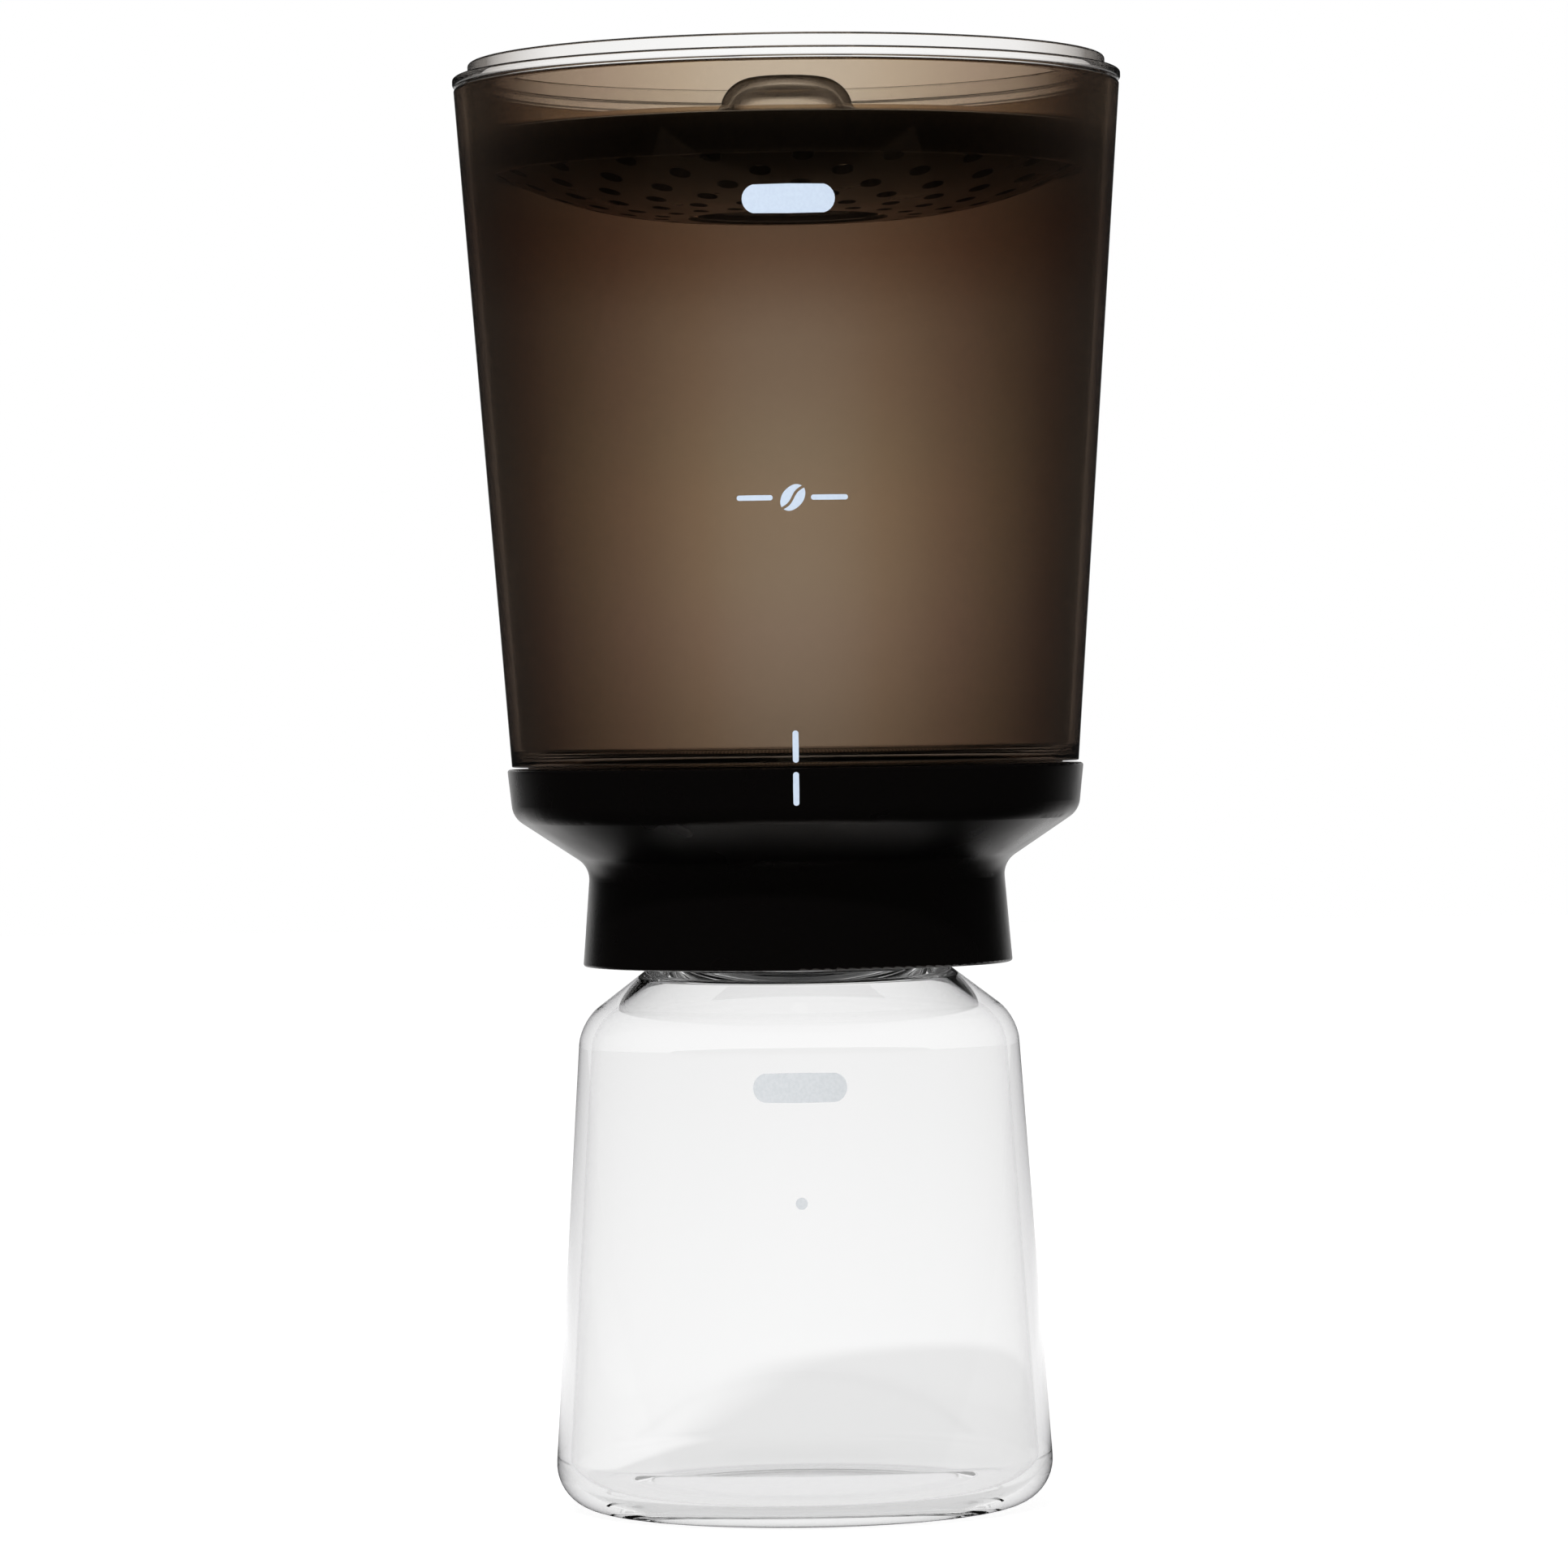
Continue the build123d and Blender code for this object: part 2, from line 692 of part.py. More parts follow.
def rain_dish():
    # bowl with rows of round holes that spread the water over the grounds
    inner_corner = dish_corner - dish_wall
    outline = bowl_arc(dish_opening, dish_corner, 0)
    outline += Polyline(
        (dish_corner, dish_corner_height),
        (dish_radius, dish_rim),
        (dish_radius - dish_wall, dish_rim),
        (inner_corner, bowl_height(inner_corner, dish_wall)),
    )
    outline += bowl_arc(inner_corner, dish_opening, dish_wall)
    outline += Line((dish_opening, bowl_height(dish_opening, dish_wall)), (dish_opening, dish_low))
    section = make_face(outline.edges())
    section = fillet(section.vertices().sort_by(Axis.Y)[-2:], dish_round)
    bowl = revolve(Plane.XZ * section, Axis.Z)
    for row in range(row_count):
        radius = dish_opening + dish_curve * sin((first_row + row * row_step) / dish_curve)
        hole = min(first_hole + row * hole_growth, largest_hole) / 2
        start = front + first_turn - row * row_turn
        places = [on_circle(radius, direction) for direction in directions(row_holes, start)]
        drills = Sketch() + [Pos(x, y) * Circle(hole) for x, y in places]
        bowl -= extrude(Pos(0, 0, dish_low) * drills, dish_depth)
    return bowl


def dish_knob():
    # clear hollow grip, clipped into the bowl's opening
    seat = bowl_height(knob_flange_radius, dish_wall) + fixed_gap
    top = flange_top - knob_drop
    straight_bottom = top - knob_straight
    spigot_radius = dish_opening - fixed_gap
    bore = spigot_radius - knob_wall
    flange = seat + knob_flange_height
    return revolved(
        (bore, seat - knob_spigot),
        (spigot_radius, seat - knob_spigot, fine_round),
        (spigot_radius, seat),
        (knob_flange_radius, seat),
        (knob_flange_radius, flange, edge_round),
        (spigot_radius, flange, edge_round),
        (knob_radius, straight_bottom, knob_waist_round),
        (knob_radius, top, knob_round),
        (0, top),
        (0, top - knob_wall),
        (knob_radius - knob_wall, top - knob_wall, knob_round - knob_wall),
        (knob_radius - knob_wall, straight_bottom, knob_waist_round + knob_wall),
        (bore, flange),
    )


# ---- write every piece --------------------------------------------------------------------------
os.makedirs("parts", exist_ok=True)
pieces = [
    glass_carafe,
    rim_pad,
    valve_actuator,
    valve_stem,
    valve_seal,
    stem_screw,
    valve_spring,
    base_collar,
    base_funnel,
    valve_retainer,
    retainer_screws,
    container_seal,
    filter_frame,
    filter_mesh,
    filter_clamp,
    filter_gasket,
    brew_container,
    dish_ring,
    rain_dish,
    dish_knob,
]
for piece in pieces:
    write(piece(), piece.__name__)
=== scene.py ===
from math import cos, pi, radians, sin, tan

import bmesh
import bpy
from mathutils import Matrix, Vector


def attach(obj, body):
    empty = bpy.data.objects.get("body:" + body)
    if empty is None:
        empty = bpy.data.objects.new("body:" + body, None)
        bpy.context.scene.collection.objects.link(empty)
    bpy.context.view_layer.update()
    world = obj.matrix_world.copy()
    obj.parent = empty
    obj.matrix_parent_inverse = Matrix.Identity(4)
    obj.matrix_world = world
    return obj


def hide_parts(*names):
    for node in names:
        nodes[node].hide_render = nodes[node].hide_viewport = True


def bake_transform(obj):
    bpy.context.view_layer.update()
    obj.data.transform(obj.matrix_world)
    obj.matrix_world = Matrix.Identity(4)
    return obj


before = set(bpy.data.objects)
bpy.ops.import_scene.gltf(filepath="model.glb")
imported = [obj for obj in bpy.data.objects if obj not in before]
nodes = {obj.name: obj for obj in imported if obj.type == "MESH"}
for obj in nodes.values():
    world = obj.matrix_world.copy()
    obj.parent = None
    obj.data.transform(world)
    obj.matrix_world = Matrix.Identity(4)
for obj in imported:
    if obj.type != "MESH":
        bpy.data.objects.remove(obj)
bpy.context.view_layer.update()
mm = 0.001
print("frame loaded,", len(nodes), "nodes")


def linear(hexColour):
    # sRGB hex to the linear values of Blender's sockets
    parts = [int(hexColour[i:i + 2], 16) / 255 for i in (1, 3, 5)]
    return [c / 12.92 if c <= 0.04045 else ((c + 0.055) / 1.055) ** 2.4 for c in parts] + [1]


def addNode(tree, kind, settings={}, inputs={}):
    # an input is given as a value, or as another node's output that is linked to it
    node = tree.nodes.new(kind)
    for name, value in settings.items():
        setattr(node, name, value)
    for name, value in inputs.items():
        if isinstance(value, bpy.types.NodeSocket):
            tree.links.new(value, node.inputs[name])
        else:
            node.inputs[name].default_value = value
    return node


def startMaterial(name):
    material = bpy.data.materials.new(name)
    material.use_nodes = True
    material.node_tree.nodes.clear()
    return material, material.node_tree


def setRamp(ramp, stops):
    # stops are (position, hex or linear colour)
    elements = ramp.color_ramp.elements
    while len(elements) < len(stops):
        elements.new(0.5)
    for element, (position, colour) in zip(elements, stops):
        element.position = position
        element.color = linear(colour) if isinstance(colour, str) else colour


meshing = {
    "spinSteps": 240,
    "roundingSteps": 8,         # for each radian that a rounding turns
    "longWall": 1.92,           # mm, from which a straight wall gets extra rings
    "endRing": 0.4,             # mm between the wall's ends and its first and last ring
    "ringStep": 8.0,            # mm between the others
    "mergeDistance": 0.002,     # mm
    "sharpAngle": 40,
}


def finishPiece(name, mesh, material, body, replaced=()):
    # body is None for a piece that is attached to no body here
    data = bpy.data.meshes.new(name)
    mesh.to_mesh(data)
    mesh.free()
    data.shade_smooth()
    data.set_sharp_from_angle(angle=radians(meshing["sharpAngle"]))
    piece = bpy.data.objects.new(name, data)
    bpy.context.scene.collection.objects.link(piece)
    data.materials.append(material)
    if body:
        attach(piece, body)
    if replaced:
        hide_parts(*replaced)
    return piece


def allOf(mesh):
    return mesh.verts[:] + mesh.edges[:] + mesh.faces[:]


def turnVerts(mesh, verts, angle, axis):
    bmesh.ops.rotate(mesh, verts=verts, cent=(0, 0, 0), matrix=Matrix.Rotation(angle, 3, axis))


def spunSolid(outline):
    # outline corners are (distance from the axis, height, rounding) in mm
    mesh = bmesh.new()
    places = [Vector((distance, 0, height)) * mm for distance, height, rounding in outline]
    corners = [mesh.verts.new(place) for place in places]
    for i, corner in enumerate(corners):
        if places[i].x > 0 or places[i - 1].x > 0:
            mesh.edges.new((corners[i - 1], corner))
    for i, (distance, height, rounding) in enumerate(outline):
        if rounding:
            before = places[i - 1] - places[i]
            after = places[(i + 1) % len(places)] - places[i]
            turn = pi - before.angle(after)
            bmesh.ops.bevel(mesh, geom=[corners[i]], affect="VERTICES",
                            segments=max(3, round(turn * meshing["roundingSteps"])),
                            offset=rounding * mm * tan(turn / 2), offset_type="OFFSET", profile=0.5,
                            material=-1, clamp_overlap=False)
    # extra rings keep the shading of long walls straight up to their roundings
    endRing = meshing["endRing"] * mm
    for edge in [e for e in mesh.edges if e.calc_length() > meshing["longWall"] * mm]:
        ends = edge.verts[:]
        first = bmesh.utils.edge_split(edge, ends[0], endRing / edge.calc_length())
        rest = [e for e in first[1].link_edges if ends[1] in e.verts][0]
        last = bmesh.utils.edge_split(rest, ends[1], endRing / rest.calc_length())
        middle = [e for e in last[1].link_edges if first[1] in e.verts][0]
        cuts = int(middle.calc_length() / mm / meshing["ringStep"])
        if cuts:
            bmesh.ops.subdivide_edges(mesh, edges=[middle], cuts=cuts)
    bmesh.ops.spin(mesh, geom=allOf(mesh), cent=(0, 0, 0), axis=(0, 0, 1), angle=2 * pi,
                   steps=meshing["spinSteps"], use_merge=True, use_duplicate=False)
    bmesh.ops.remove_doubles(mesh, verts=mesh.verts, dist=meshing["mergeDistance"] * mm)
    bmesh.ops.recalc_face_normals(mesh, faces=mesh.faces)
    return mesh


smokeLook = {
    # what one wall lets through, by how slanted it is looked at: its brown tint, which the longer path
    # deepens at a slant, darkened further towards the edges by painted shade
    "slants": ((0.0, "#c5b8a8"), (0.05, "#b8a794"), (0.11, "#a99989"), (0.17, "#9e8c7e"),
               (0.276, "#8c7c6c"), (0.387, "#78695c"), (0.468, "#64554a"), (0.674, "#30271f"),
               (0.8, "#120d0a"), (1.0, "#030303")),
    # and painted shade and light by height in mm: darker where the light behind it falls off and beside
    # the rain dish, paler at the top
    "heights": ((158, "#d7d4d4"), (165, "#dad8d8"), (175, "#e2e0e1"), (186, "#e8e6e8"),
                (197, "#ebeaea"), (213, "#eceae8"), (226, "#e6e5e3"), (237, "#e2dfde"),
                (252, "#ddd9d8"), (262, "#cec4c0"), (271, "#c4b6b0"), (277, "#c0b8b3"),
                (287, "#c5c2bf"), (292, "#fef9f1"), (302, "#fef9f1")),
    "mirrored": "#958e86",
    "flow": 16.7,               # mm between the waves that the moulding left
}


def smokePlastic():
    # smoke-tinted copolyester, injection moulded and polished: brown-grey, darker at a slant, partly by
    # its longer path through the wall and partly by painted shade, with painted shade and light by
    # height and the faint flow of the moulding
    material, tree = startMaterial("smokeTintedCopolyester")
    place = addNode(tree, "ShaderNodeTexCoord")
    flow = addNode(tree, "ShaderNodeTexNoise", {}, {"Vector": place.outputs["Object"],
                   "Scale": 1 / (smokeLook["flow"] * mm), "Detail": 2})
    bump = addNode(tree, "ShaderNodeBump", {}, {"Height": flow.outputs["Fac"], "Strength": 0.008,
                   "Distance": 0.1 * mm})
    # painted shade in part: the wall darkens at a slant far past what its longer path gives
    slant = addNode(tree, "ShaderNodeLayerWeight", {}, {"Blend": 0.5})
    tint = addNode(tree, "ShaderNodeValToRGB", {}, {"Fac": slant.outputs["Facing"]})
    setRamp(tint, smokeLook["slants"])
    parts = addNode(tree, "ShaderNodeSeparateXYZ", {}, {"Vector": place.outputs["Object"]})
    low, high = smokeLook["heights"][0][0], smokeLook["heights"][-1][0]
    share = addNode(tree, "ShaderNodeMapRange", {}, {"Value": parts.outputs["Z"], "From Min": low * mm,
                    "From Max": high * mm})
    # painted shade and light by height, multiplied into the wall's tint
    wall = addNode(tree, "ShaderNodeValToRGB", {}, {"Fac": share.outputs["Result"]})
    setRamp(wall, [((height - low) / (high - low), colour) for height, colour in smokeLook["heights"]])
    tintAndPaintedShade = addNode(tree, "ShaderNodeMix", {"data_type": "RGBA", "blend_type": "MULTIPLY"}, {0: 1.0,
                   6: tint.outputs["Color"], 7: wall.outputs["Color"]})
    surface = addNode(tree, "ShaderNodeBsdfPrincipled", {}, {"Base Color": tintAndPaintedShade.outputs[2],
                      "Normal": bump.outputs["Normal"], "Roughness": 0.0, "IOR": 1.55,
                      "Specular Tint": linear(smokeLook["mirrored"]), "Transmission Weight": 1})
    addNode(tree, "ShaderNodeOutputMaterial", {}, {"Surface": surface.outputs["BSDF"]})
    return material


clearLook = {
    # what one wall lets through, by how slanted it is looked at: nearly clear, then painted shade, which
    # draws the dark outlines of the knob and the ring
    "knobSlantShade": ((0.0, "#fdfdfc"), (0.29, "#eae7e4"), (0.41, "#78726d"), (0.54, "#26221f"),
                   (0.8, "#151311"), (1.0, "#070606")),
    "ringSlantShade": ((0.0, "#fdfdfc"), (0.32, "#eeecea"), (0.5, "#b5afa9"), (0.66, "#4a4540"),
                   (0.85, "#1c1a18"), (1.0, "#0a0908")),
    "ringPaintedShadeBelow": 291.8,    # mm, below which the ring's wall is painted black shade, where the rain dish stands behind it
    # colour of the painted black shade
    "black": "#050403",
    "paintedShadeEdge": 0.6,           # mm over which the painted black shade fades in
    "flow": 11.1,               # mm
}


def clearPlastic(name, slants, paintedShadeBelow=0):
    # clear copolyester, injection moulded and polished: nearly colourless, with painted shade that
    # darkens it where it is seen at a slant, and painted black shade below a height in mm, where
    # something black stands behind it
    material, tree = startMaterial(name)
    place = addNode(tree, "ShaderNodeTexCoord")
    flow = addNode(tree, "ShaderNodeTexNoise", {}, {"Vector": place.outputs["Object"],
                   "Scale": 1 / (clearLook["flow"] * mm), "Detail": 2})
    bump = addNode(tree, "ShaderNodeBump", {}, {"Height": flow.outputs["Fac"], "Strength": 0.02,
                   "Distance": 0.1 * mm})
    # painted shade: the nearly colourless wall is drawn dark where it is seen at a slant
    slant = addNode(tree, "ShaderNodeLayerWeight", {}, {"Blend": 0.5})
    tint = addNode(tree, "ShaderNodeValToRGB", {}, {"Fac": slant.outputs["Facing"]})
    setRamp(tint, slants)
    parts = addNode(tree, "ShaderNodeSeparateXYZ", {}, {"Vector": place.outputs["Object"]})
    # painted shade: below the given height the wall is drawn black, for the dark rain dish seen behind
    # it
    lit = addNode(tree, "ShaderNodeMapRange", {}, {"Value": parts.outputs["Z"],
                  "From Min": (paintedShadeBelow - clearLook["paintedShadeEdge"]) * mm, "From Max": paintedShadeBelow * mm})
    shade = addNode(tree, "ShaderNodeMix", {"data_type": "RGBA"}, {0: lit.outputs["Result"],
                    6: linear(clearLook["black"]), 7: tint.outputs["Color"]})
    surface = addNode(tree, "ShaderNodeBsdfPrincipled", {}, {"Base Color": shade.outputs[2],
                      "Normal": bump.outputs["Normal"], "Roughness": 0.0, "IOR": 1.52,
                      "Transmission Weight": 1})
    addNode(tree, "ShaderNodeOutputMaterial", {}, {"Surface": surface.outputs["BSDF"]})
    return material


glassLook = {
    # what one wall lets through, by how slanted it is looked at: nearly clear, greyed at a slant by
    # painted shade
    "slants": ((0.0, "#fefefe"), (0.66, "#fafafa"), (0.82, "#ecebed"), (0.93, "#c6c5c9"),
               (1.0, "#807f83")),
    "waves": 22.2,              # mm from one to the next, round the carafe
    "wavesDrawnUp": 0.4,        # their pattern's scale up and down, against that round the carafe
}


def carafeGlass():
    # borosilicate glass, mould-blown: clear and hard, greyed at a slant by painted shade, with very
    # slight waves from the mould
    material, tree = startMaterial("borosilicateGlass")
    place = addNode(tree, "ShaderNodeTexCoord")
    stretch = addNode(tree, "ShaderNodeMapping", {}, {"Vector": place.outputs["Object"],
                      "Scale": (1, 1, glassLook["wavesDrawnUp"])})
    waves = addNode(tree, "ShaderNodeTexNoise", {}, {"Vector": stretch.outputs["Vector"],
                    "Scale": 1 / (glassLook["waves"] * mm), "Detail": 1})
    bump = addNode(tree, "ShaderNodeBump", {}, {"Height": waves.outputs["Fac"], "Strength": 0.06,
                   "Distance": 0.2 * mm})
    # painted shade: the clear glass greys where it is seen at a slant
    slant = addNode(tree, "ShaderNodeLayerWeight", {}, {"Blend": 0.5})
    tint = addNode(tree, "ShaderNodeValToRGB", {}, {"Fac": slant.outputs["Facing"]})
    setRamp(tint, glassLook["slants"])
    surface = addNode(tree, "ShaderNodeBsdfPrincipled", {}, {"Base Color": tint.outputs["Color"],
                      "Normal": bump.outputs["Normal"], "Roughness": 0.0, "IOR": 1.47,
                      "Transmission Weight": 1})
    addNode(tree, "ShaderNodeOutputMaterial", {}, {"Surface": surface.outputs["BSDF"]})
    return material


blackLook = {
    # grain and its depth in mm, and the roughness of its glossy and its dull blotches
    "shell": {"colour": "#060505", "grain": 0.35, "depth": 0.04, "gloss": (0.26, 0.34), "shine": 0.4},
    "dish": {"colour": "#0a0909", "grain": 0.6, "depth": 0.02, "gloss": (0.26, 0.34), "shine": 0.38},
    "inside": {"colour": "#0c0c0c", "grain": 0.4, "depth": 0.03, "gloss": (0.41, 0.49), "shine": 0.2},
    "mottle": (0.8, 1.2),       # of the colour, in the grain's pits and on its tops
    "blotch": 12.5,             # mm
    "sheen": "#ffeee2",
}


def blackPolypropylene(name, look):
    # black polypropylene, injection moulded in a spark-eroded tool: a fine pebble that breaks the
    # highlights up, slightly blotchy in gloss
    material, tree = startMaterial(name)
    place = addNode(tree, "ShaderNodeTexCoord")
    pebble = addNode(tree, "ShaderNodeTexNoise", {}, {"Vector": place.outputs["Object"],
                     "Scale": 1 / (look["grain"] * mm), "Detail": 3, "Roughness": 0.6})
    blotch = addNode(tree, "ShaderNodeTexNoise", {}, {"Vector": place.outputs["Object"],
                     "Scale": 1 / (blackLook["blotch"] * mm), "Detail": 2})
    glossy, dull = look["gloss"]
    gloss = addNode(tree, "ShaderNodeMapRange", {}, {"Value": blotch.outputs["Fac"],
                    "From Min": 0.3, "From Max": 0.7, "To Min": glossy, "To Max": dull})
    shade = addNode(tree, "ShaderNodeValToRGB", {}, {"Fac": pebble.outputs["Fac"]})
    pit, top = [[c * share for c in linear(look["colour"])[:3]] + [1] for share in blackLook["mottle"]]
    setRamp(shade, [(0.3, pit), (0.7, top)])
    bump = addNode(tree, "ShaderNodeBump", {}, {"Height": pebble.outputs["Fac"], "Strength": 0.5,
                   "Distance": look["depth"] * mm})
    surface = addNode(tree, "ShaderNodeBsdfPrincipled", {}, {"Base Color": shade.outputs["Color"],
                      "Normal": bump.outputs["Normal"], "Roughness": gloss.outputs["Result"],
                      "Specular IOR Level": look["shine"], "Specular Tint": linear(blackLook["sheen"]),
                      "IOR": 1.49})
    addNode(tree, "ShaderNodeOutputMaterial", {}, {"Surface": surface.outputs["BSDF"]})
    return material


siliconeLook = {
    "grey": ("#777775", "#83837f"),
    "black": ("#151514", "#1b1b1a"),
    "grain": 0.5,               # mm
    "depth": 0.03,              # mm
}


def siliconeRubber(name, colours):
    # platinum silicone, compression moulded: soft matt skin with a breath of dust
    material, tree = startMaterial(name)
    place = addNode(tree, "ShaderNodeTexCoord")
    skin = addNode(tree, "ShaderNodeTexNoise", {}, {"Vector": place.outputs["Object"],
                   "Scale": 1 / (siliconeLook["grain"] * mm), "Detail": 3})
    shade = addNode(tree, "ShaderNodeValToRGB", {}, {"Fac": skin.outputs["Fac"]})
    setRamp(shade, [(0.3, colours[0]), (0.7, colours[1])])
    bump = addNode(tree, "ShaderNodeBump", {}, {"Height": skin.outputs["Fac"], "Strength": 0.2,
                   "Distance": siliconeLook["depth"] * mm})
    surface = addNode(tree, "ShaderNodeBsdfPrincipled", {}, {"Base Color": shade.outputs["Color"],
                      "Normal": bump.outputs["Normal"], "Roughness": 0.6, "IOR": 1.41,
                      "Sheen Weight": 0.2, "Sheen Roughness": 0.4})
    addNode(tree, "ShaderNodeOutputMaterial", {}, {"Surface": surface.outputs["BSDF"]})
    return material


steelLook = {"colours": ("#b9b7b3", "#cfcdc9"), "gloss": (0.2, 0.36), "grain": 0.4}


def stainlessSteel():
    # stainless steel, drawn or turned and then tumbled: grey, with a fine, uneven sheen; the
    # grain is given in mm
    material, tree = startMaterial("tumbledStainlessSteel")
    place = addNode(tree, "ShaderNodeTexCoord")
    grain = addNode(tree, "ShaderNodeTexNoise", {}, {"Vector": place.outputs["Object"],
                    "Scale": 1 / (steelLook["grain"] * mm), "Detail": 4, "Roughness": 0.7})
    glossy, dull = steelLook["gloss"]
    gloss = addNode(tree, "ShaderNodeMapRange", {}, {"Value": grain.outputs["Fac"],
                    "From Min": 0.3, "From Max": 0.7, "To Min": glossy, "To Max": dull})
    shade = addNode(tree, "ShaderNodeValToRGB", {}, {"Fac": grain.outputs["Fac"]})
    setRamp(shade, [(0.3, steelLook["colours"][0]), (0.7, steelLook["colours"][1])])
    surface = addNode(tree, "ShaderNodeBsdfPrincipled", {}, {"Base Color": shade.outputs["Color"],
                      "Roughness": gloss.outputs["Result"], "Metallic": 1})
    addNode(tree, "ShaderNodeOutputMaterial", {}, {"Surface": surface.outputs["BSDF"]})
    return material


meshLook = {"gap": "#2e2c29", "wire": "#c4c1bb", "pitch": 0.8, "depth": 0.1}


def wovenMesh():
    # plain-woven stainless wire cloth: the real pitch of about 0.15 mm is too fine to show, so the
    # wires are drawn 0.8 mm apart
    material, tree = startMaterial("wovenStainlessMesh")
    place = addNode(tree, "ShaderNodeTexCoord")
    waveScale = 2 * pi / 20 / (meshLook["pitch"] * mm)      # at a scale of 1, a wave is 2 pi / 20 long
    waves = []
    for direction in ("X", "Y"):
        waves.append(addNode(tree, "ShaderNodeTexWave", {"wave_type": "BANDS", "wave_profile": "SIN",
                     "bands_direction": direction}, {"Vector": place.outputs["Object"],
                     "Scale": waveScale}))
    wires = addNode(tree, "ShaderNodeMath", {"operation": "MAXIMUM"}, {0: waves[0].outputs["Fac"],
                    1: waves[1].outputs["Fac"]})
    shade = addNode(tree, "ShaderNodeValToRGB", {}, {"Fac": wires.outputs["Value"]})
    setRamp(shade, [(0.55, meshLook["gap"]), (0.8, meshLook["wire"])])
    bump = addNode(tree, "ShaderNodeBump", {}, {"Height": wires.outputs["Value"], "Strength": 0.5,
                   "Distance": meshLook["depth"] * mm})
    surface = addNode(tree, "ShaderNodeBsdfPrincipled", {}, {"Base Color": shade.outputs["Color"],
                      "Normal": bump.outputs["Normal"], "Roughness": 0.35, "Metallic": 1})
    addNode(tree, "ShaderNodeOutputMaterial", {}, {"Surface": surface.outputs["BSDF"]})
    return material


inkLook = {
    "paleBlueGrey": ("#c6d4e6", "#cbd9ea"),
    "lightGrey": ("#ccd0d3", "#d3d6d9"),
    "film": 0.7,                # mm from one thin place in the film to the next
}


def printedInk(name, colours):
    # pad-printed epoxy ink: opaque, satin, its film very slightly uneven
    material, tree = startMaterial(name)
    place = addNode(tree, "ShaderNodeTexCoord")
    film = addNode(tree, "ShaderNodeTexNoise", {}, {"Vector": place.outputs["Object"],
                   "Scale": 1 / (inkLook["film"] * mm), "Detail": 2})
    shade = addNode(tree, "ShaderNodeValToRGB", {}, {"Fac": film.outputs["Fac"]})
    setRamp(shade, [(0.35, colours[0]), (0.65, colours[1])])
    surface = addNode(tree, "ShaderNodeBsdfPrincipled", {}, {"Base Color": shade.outputs["Color"],
                      "Roughness": 0.5, "Specular IOR Level": 0.3})
    addNode(tree, "ShaderNodeOutputMaterial", {}, {"Surface": surface.outputs["BSDF"]})
    return material


smoke = smokePlastic()
clear = clearPlastic("clearCopolyester", clearLook["knobSlantShade"])
ringClear = clearPlastic("shadePaintedClearCopolyester", clearLook["ringSlantShade"], clearLook["ringPaintedShadeBelow"])
glass = carafeGlass()
shellBlack = blackPolypropylene("mattBlackPolypropylene", blackLook["shell"])
dishBlack = blackPolypropylene("satinBlackPolypropylene", blackLook["dish"])
plainBlack = blackPolypropylene("plainBlackPolypropylene", blackLook["inside"])
silicone = siliconeRubber("greySiliconeRubber", siliconeLook["grey"])
padSilicone = siliconeRubber("blackSiliconeRubber", siliconeLook["black"])
steel = stainlessSteel()
meshSteel = wovenMesh()
markInk = printedInk("paleBlueGreyInk", inkLook["paleBlueGrey"])
carafeInk = printedInk("lightGreyInk", inkLook["lightGrey"])
print("materials made")

nodeMaterials = {
    "base_collar": shellBlack,
    "rain_dish": dishBlack,
    "valve_actuator": plainBlack,
    "valve_stem": plainBlack,
    "base_funnel": plainBlack,
    "valve_retainer": plainBlack,
    "filter_frame": plainBlack,
    "filter_clamp": plainBlack,
    "rim_pad": padSilicone,
    "valve_seal": silicone,
    "container_seal": silicone,
    "filter_gasket": silicone,
    "stem_screw": steel,
    "retainer_screws": steel,
    "filter_mesh": meshSteel,
}
for name, material in nodeMaterials.items():
    for slot in nodes[name].material_slots:
        slot.material = material

carafe = {
    "outline": [
        (0, 1.4, 0), (32.8, 1.4, 2.5), (37.0, 0, 2.0), (53.438, 0, 9.6),                # hollow foot
        (46.55, 103.6, 10.5), (28.2, 117.579, 5.0), (28.2, 126.2, 0.3),                 # shoulder, neck
        (30.0, 126.2, 1.3), (30.0, 130.0, 1.3), (25.2, 130.0, 1.3),                     # rim
        (25.2, 113.4, 4.0), (32.0, 111.42, 4.0), (43.95, 102.312, 9.0),                 # inside, down
        (50.3, 3.9, 6.6), (0, 3.9, 0),
    ],
}
finishPiece("carafeBody", spunSolid(carafe["outline"]), glass, "carafe",
            replaced=["glass_carafe"])

container = {
    "outline": [
        (60.32, 157.85, 0.3), (70.75, 301.8, 0.6),                                      # outside, up
        (68.45, 301.8, 0.6), (58.22, 160.7, 1.5), (54.8, 158.6, 0.6),                   # inside, down
        (54.8, 150.7, 0.6), (56.9, 150.7, 0.6), (56.9, 157.85, 0),                      # neck
    ],
    "lugOutline": [(56.92, 152.1), (58.3, 152.1), (58.3, 154.5), (56.92, 154.5)],
    "lugCount": 4,
    "lugAngle": 20,
    "lugSteps": 16,
    "firstLug": 45,
}
shell = spunSolid(container["outline"])
for index in range(container["lugCount"]):
    corners = [shell.verts.new((x * mm, 0, z * mm)) for x, z in container["lugOutline"]]
    side = shell.faces.new(corners)
    middle = container["firstLug"] + index * 360 / container["lugCount"]
    turnVerts(shell, corners, radians(middle - container["lugAngle"] / 2), "Z")
    bmesh.ops.spin(shell, geom=corners + side.edges[:] + [side], cent=(0, 0, 0), axis=(0, 0, 1),
                   angle=radians(container["lugAngle"]), steps=container["lugSteps"],
                   use_merge=False, use_duplicate=False)
bmesh.ops.recalc_face_normals(shell, faces=shell.faces)
